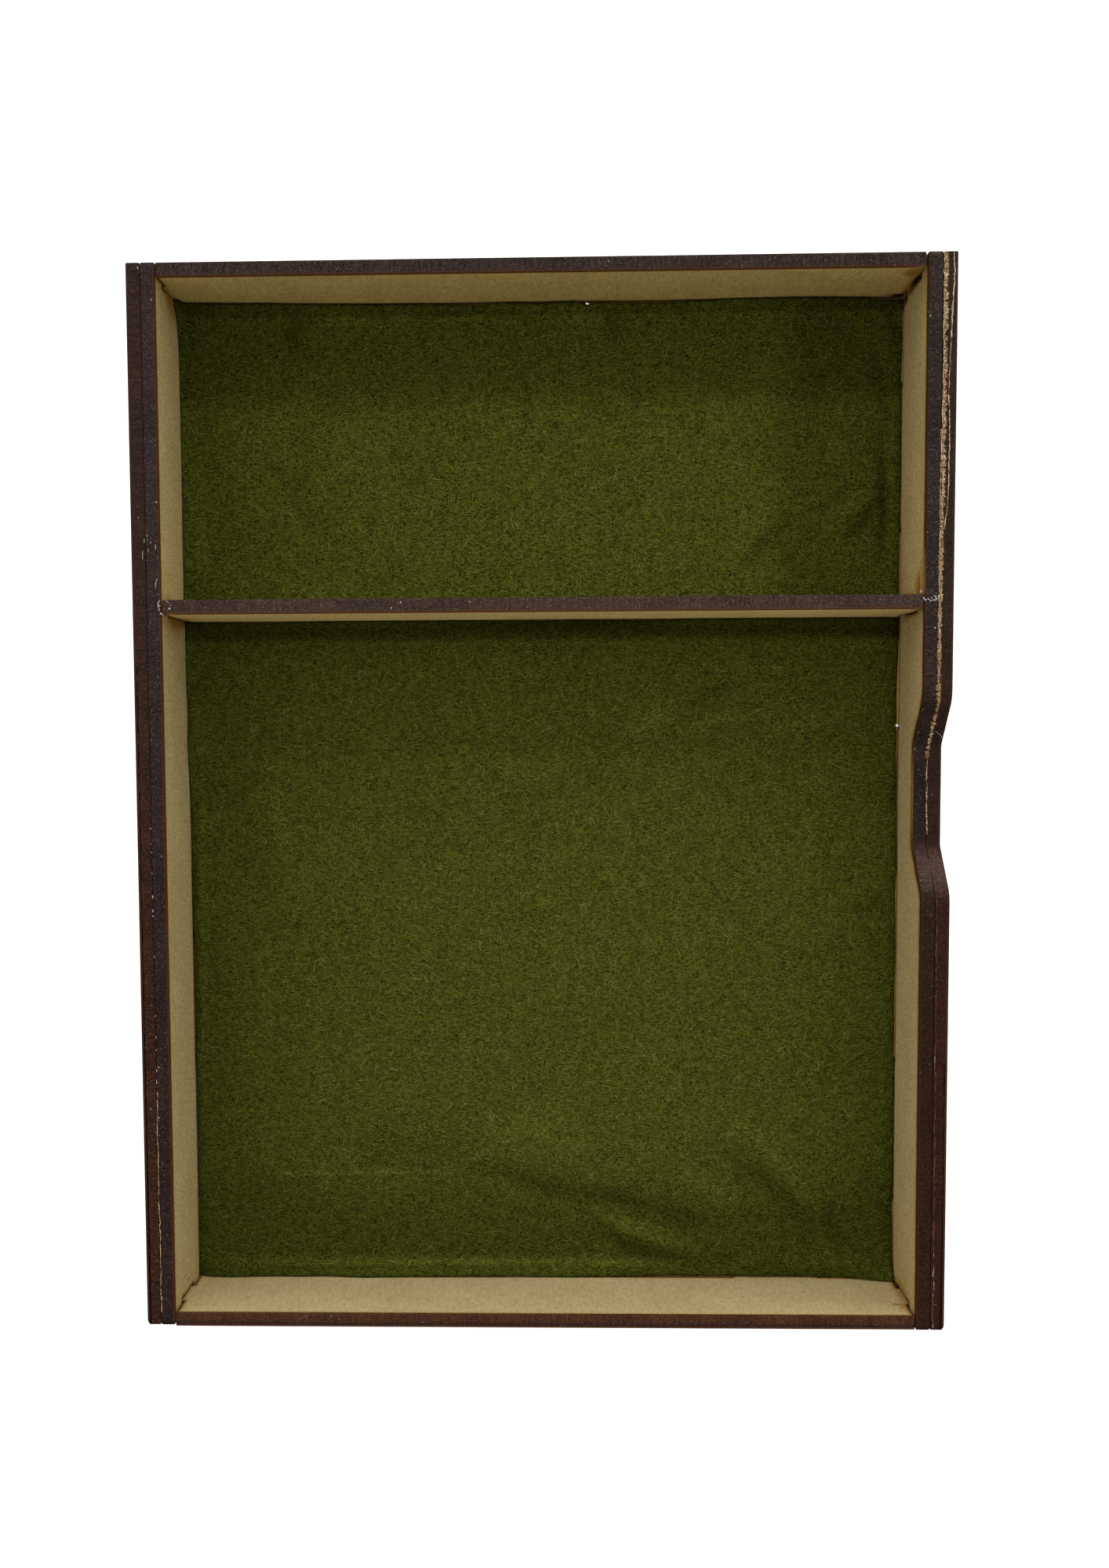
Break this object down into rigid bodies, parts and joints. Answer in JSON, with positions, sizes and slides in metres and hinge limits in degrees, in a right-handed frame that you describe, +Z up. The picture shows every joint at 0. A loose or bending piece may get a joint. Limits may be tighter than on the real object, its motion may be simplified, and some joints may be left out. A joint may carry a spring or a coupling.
{
  "type": "dice storage box",
  "caption": "Open rectangular tray of laser-cut fibreboard with a cross divider, felt-lined compartments and a finger notch in one double-thickness side wall.",
  "frame": {"origin": "centre of the tray's footprint, on the surface that it stands on", "axes": "+Z up to the rim, +Y along the length from the large compartment to the small one, +X across, towards the side with the finger notch"},
  "size_m": [0.168, 0.221, 0.028],
  "materials": {
    "fibreboard": "bare 3 mm fibreboard, smooth beige faces, cut edges charred dark brown by the laser",
    "felt": "olive green needle-punched felt, matt, fibres standing proud"
  },
  "bodies": {
    "root": {"base_board": "fibreboard", "rear_wall": "fibreboard", "front_wall": "fibreboard", "divider": "fibreboard", "left_inner_wall": "fibreboard", "left_outer_wall": "fibreboard", "right_inner_wall": "fibreboard", "right_outer_wall": "fibreboard", "rear_felt": "felt", "front_felt": "felt"}
  },
  "joints": []
}
